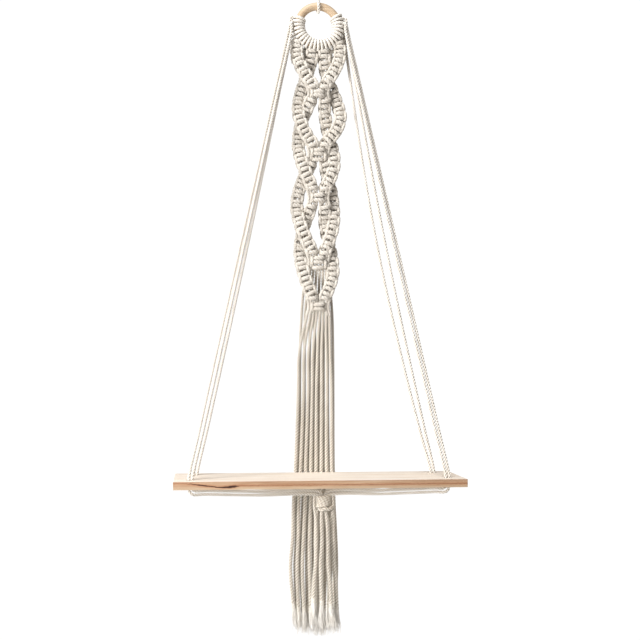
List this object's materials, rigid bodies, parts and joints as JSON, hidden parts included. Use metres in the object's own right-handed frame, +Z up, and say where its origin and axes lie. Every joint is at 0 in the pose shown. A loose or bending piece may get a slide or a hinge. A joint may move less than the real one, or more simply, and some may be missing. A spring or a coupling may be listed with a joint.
{
  "type": "macrame wall shelf with wooden ring and board",
  "caption": "Hanging shelf: a wooden ring with a braided knotted cotton panel, a board slung on side cords, and a fringe.",
  "frame": {"origin": "top of the hanging loop, on the line that the shelf hangs from", "axes": "+Z up, +Y towards the wall (the wall plane is at y = 14 mm), +X along the board to the right as seen from the front"},
  "size_m": [0.432, 0.1475, 1.0049],
  "materials": {
    "cotton_cord": "matte, natural undyed cotton",
    "ring_wood": "smooth, bare",
    "board_wood": "sanded, bare"
  },
  "bodies": {
    "root": {"ring": "ring_wood", "hanging_loop": "cotton_cord", "macrame_panel": "cotton_cord", "board": "board_wood", "side_cord_left_1": "cotton_cord", "side_cord_left_2": "cotton_cord", "side_cord_left_3": "cotton_cord", "side_cord_left_4": "cotton_cord", "side_cord_right_1": "cotton_cord", "side_cord_right_2": "cotton_cord", "side_cord_right_3": "cotton_cord", "side_cord_right_4": "cotton_cord", "tassel": "cotton_cord"}
  },
  "joints": []
}
